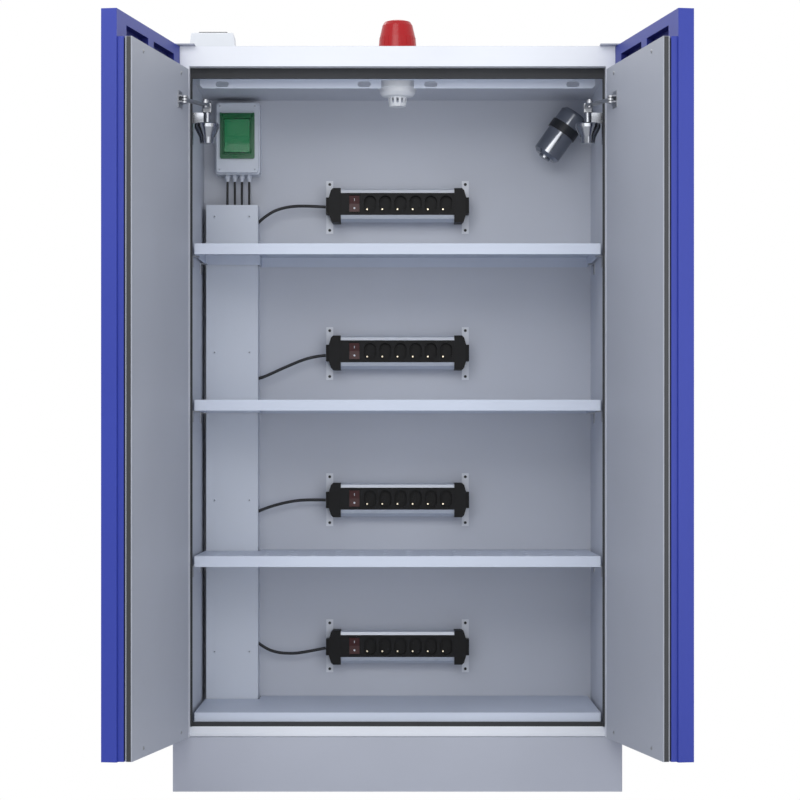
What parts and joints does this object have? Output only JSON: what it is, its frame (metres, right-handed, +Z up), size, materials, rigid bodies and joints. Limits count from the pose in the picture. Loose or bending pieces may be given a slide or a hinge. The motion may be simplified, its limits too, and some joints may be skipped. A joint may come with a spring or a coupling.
{
  "type": "battery charging safety cabinet",
  "caption": "Free-standing two-door steel cabinet, insulated, with perforated shelves and power strips for charging batteries, doors standing open.",
  "frame": {"origin": "on the floor under the middle of the whole cabinet with its doors open", "axes": "+Z up, -Y towards the user, doors open towards -Y"},
  "size_m": [1.4462, 1.17, 2.091],
  "materials": {
    "casing_paint": "satin",
    "frame_paint": "satin",
    "liner": "satin",
    "board": "matt",
    "door_board": "matt",
    "seal": "matt",
    "plinth_paint": "satin",
    "steel": "satin",
    "black_steel": "satin",
    "red_lens": "gloss",
    "dark_plastic": "matt",
    "white_plastic": "satin",
    "shelf_paint": "satin",
    "duct_plastic": "satin",
    "green_plastic": "gloss",
    "green_frame": "satin",
    "green_clear": "clear",
    "cable": "matt",
    "chrome": "polished",
    "alloy": "anodised",
    "black_plastic": "satin",
    "pin_metal": "polished",
    "red_switch": "gloss",
    "door_paint": "satin",
    "panel_paint": "satin"
  },
  "bodies": {
    "cabinet": {"outer_casing": "casing_paint", "insulation_boards": "board", "inner_liner": "liner", "front_frame": "frame_paint", "frame_seal": "seal", "plinth": "plinth_paint", "hinge_brackets": "plinth_paint", "beacon_base": "dark_plastic", "beacon_dome": "red_lens", "alarm_box": "white_plastic", "ceiling_rail": "shelf_paint", "detector_body": "white_plastic", "detector_cage": "white_plastic", "shelf_1": "shelf_paint", "shelf_2": "shelf_paint", "shelf_3": "shelf_paint", "bottom_tray": "shelf_paint", "shelf_supports": "steel", "duct_channel": "duct_plastic", "duct_cover": "duct_plastic", "box_base": "duct_plastic", "box_lid": "duct_plastic", "switch_frame": "green_frame", "box_glands": "duct_plastic", "supply_cables": "cable", "extinguisher_can": "chrome", "extinguisher_bracket": "black_steel", "closer_housings": "chrome", "strip_housings": "alloy", "strip_faces": "black_plastic", "earth_pins": "pin_metal", "strip_ends": "black_plastic", "strip_brackets": "frame_paint", "strip_lead_1": "cable", "strip_lead_2": "cable", "strip_lead_3": "cable", "strip_lead_4": "cable"},
    "left_door": {"left_door_shell": "door_paint", "left_door_board": "door_board", "left_door_panel": "panel_paint", "left_door_seal": "seal", "left_arm_bracket": "steel"},
    "right_door": {"right_door_shell": "door_paint", "right_door_board": "door_board", "right_door_panel": "panel_paint", "right_door_seal": "seal", "right_arm_bracket": "steel", "handle_dish": "black_plastic", "lock_cylinder": "steel"},
    "handle": {"door_handle": "black_plastic"},
    "left_crank": {"left_crank": "steel"},
    "left_link": {"left_link": "steel"},
    "right_crank": {"right_crank": "steel"},
    "right_link": {"right_link": "steel"},
    "switch_flap": {"switch_flap": "green_clear"},
    "switch_rocker": {"switch_rocker": "green_plastic"},
    "strip_switch_1": {"strip_switch_1": "red_switch"},
    "strip_switch_2": {"strip_switch_2": "red_switch"},
    "strip_switch_3": {"strip_switch_3": "red_switch"},
    "strip_switch_4": {"strip_switch_4": "red_switch"}
  },
  "joints": [
    {"name": "left_door_hinge", "type": "hinge", "parent": "cabinet", "child": "left_door", "pos_m": [-0.59, -0.00403, 1.07], "axis": [0, 0, -1], "range_deg": [-100, 0]},
    {"name": "right_door_hinge", "type": "hinge", "parent": "cabinet", "child": "right_door", "pos_m": [0.59, -0.00403, 1.07], "axis": [0, 0, 1], "range_deg": [-100, 0]},
    {"name": "left_crank_hinge", "type": "hinge", "parent": "cabinet", "child": "left_crank", "pos_m": [-0.514, 0.08297, 1.8345], "axis": [0, 0, -1], "range_deg": [-128.58, 0]},
    {"name": "right_crank_hinge", "type": "hinge", "parent": "cabinet", "child": "right_crank", "pos_m": [0.514, 0.08297, 1.8345], "axis": [0, 0, 1], "range_deg": [-128.58, 0]},
    {"name": "left_link_hinge", "type": "hinge", "parent": "left_door", "child": "left_link", "pos_m": [-0.55673, -0.13784, 1.827], "axis": [0, 0, -1], "range_deg": [0, 95.58]},
    {"name": "right_link_hinge", "type": "hinge", "parent": "right_door", "child": "right_link", "pos_m": [0.55673, -0.13784, 1.827], "axis": [0, 0, 1], "range_deg": [0, 95.58]},
    {"name": "handle_pivot", "type": "hinge", "parent": "right_door", "child": "handle", "pos_m": [0.69862, -0.49106, 1.126], "axis": [0.1736, -0.9848, 0], "range_deg": [0, 35], "stiffness_Nm_per_rad": 0.5},
    {"name": "flap_pivot", "type": "hinge", "parent": "cabinet", "child": "switch_flap", "pos_m": [-0.456, 0.44997, 1.866], "axis": [-1, 0, 0], "range_deg": [0, 95]},
    {"name": "rocker_pivot", "type": "hinge", "parent": "cabinet", "child": "switch_rocker", "pos_m": [-0.456, 0.45897, 1.8065], "axis": [1, 0, 0], "range_deg": [-6, 6]},
    {"name": "strip_switch_1_pivot", "type": "hinge", "parent": "cabinet", "child": "strip_switch_1", "pos_m": [-0.123, 0.48047, 1.6154], "axis": [1, 0, 0], "range_deg": [-6, 6]},
    {"name": "strip_switch_2_pivot", "type": "hinge", "parent": "cabinet", "child": "strip_switch_2", "pos_m": [-0.123, 0.48047, 1.1949], "axis": [1, 0, 0], "range_deg": [-6, 6]},
    {"name": "strip_switch_3_pivot", "type": "hinge", "parent": "cabinet", "child": "strip_switch_3", "pos_m": [-0.123, 0.48047, 0.7744], "axis": [1, 0, 0], "range_deg": [-6, 6]},
    {"name": "strip_switch_4_pivot", "type": "hinge", "parent": "cabinet", "child": "strip_switch_4", "pos_m": [-0.123, 0.48047, 0.3539], "axis": [1, 0, 0], "range_deg": [-6, 6]}
  ],
  "couplings": [
    {"joint": "left_crank_hinge", "follows": "left_door_hinge", "ratio": 1.2857},
    {"joint": "right_crank_hinge", "follows": "right_door_hinge", "ratio": 1.2857},
    {"joint": "left_link_hinge", "follows": "left_door_hinge", "ratio": -0.95573},
    {"joint": "right_link_hinge", "follows": "right_door_hinge", "ratio": -0.95573}
  ]
}
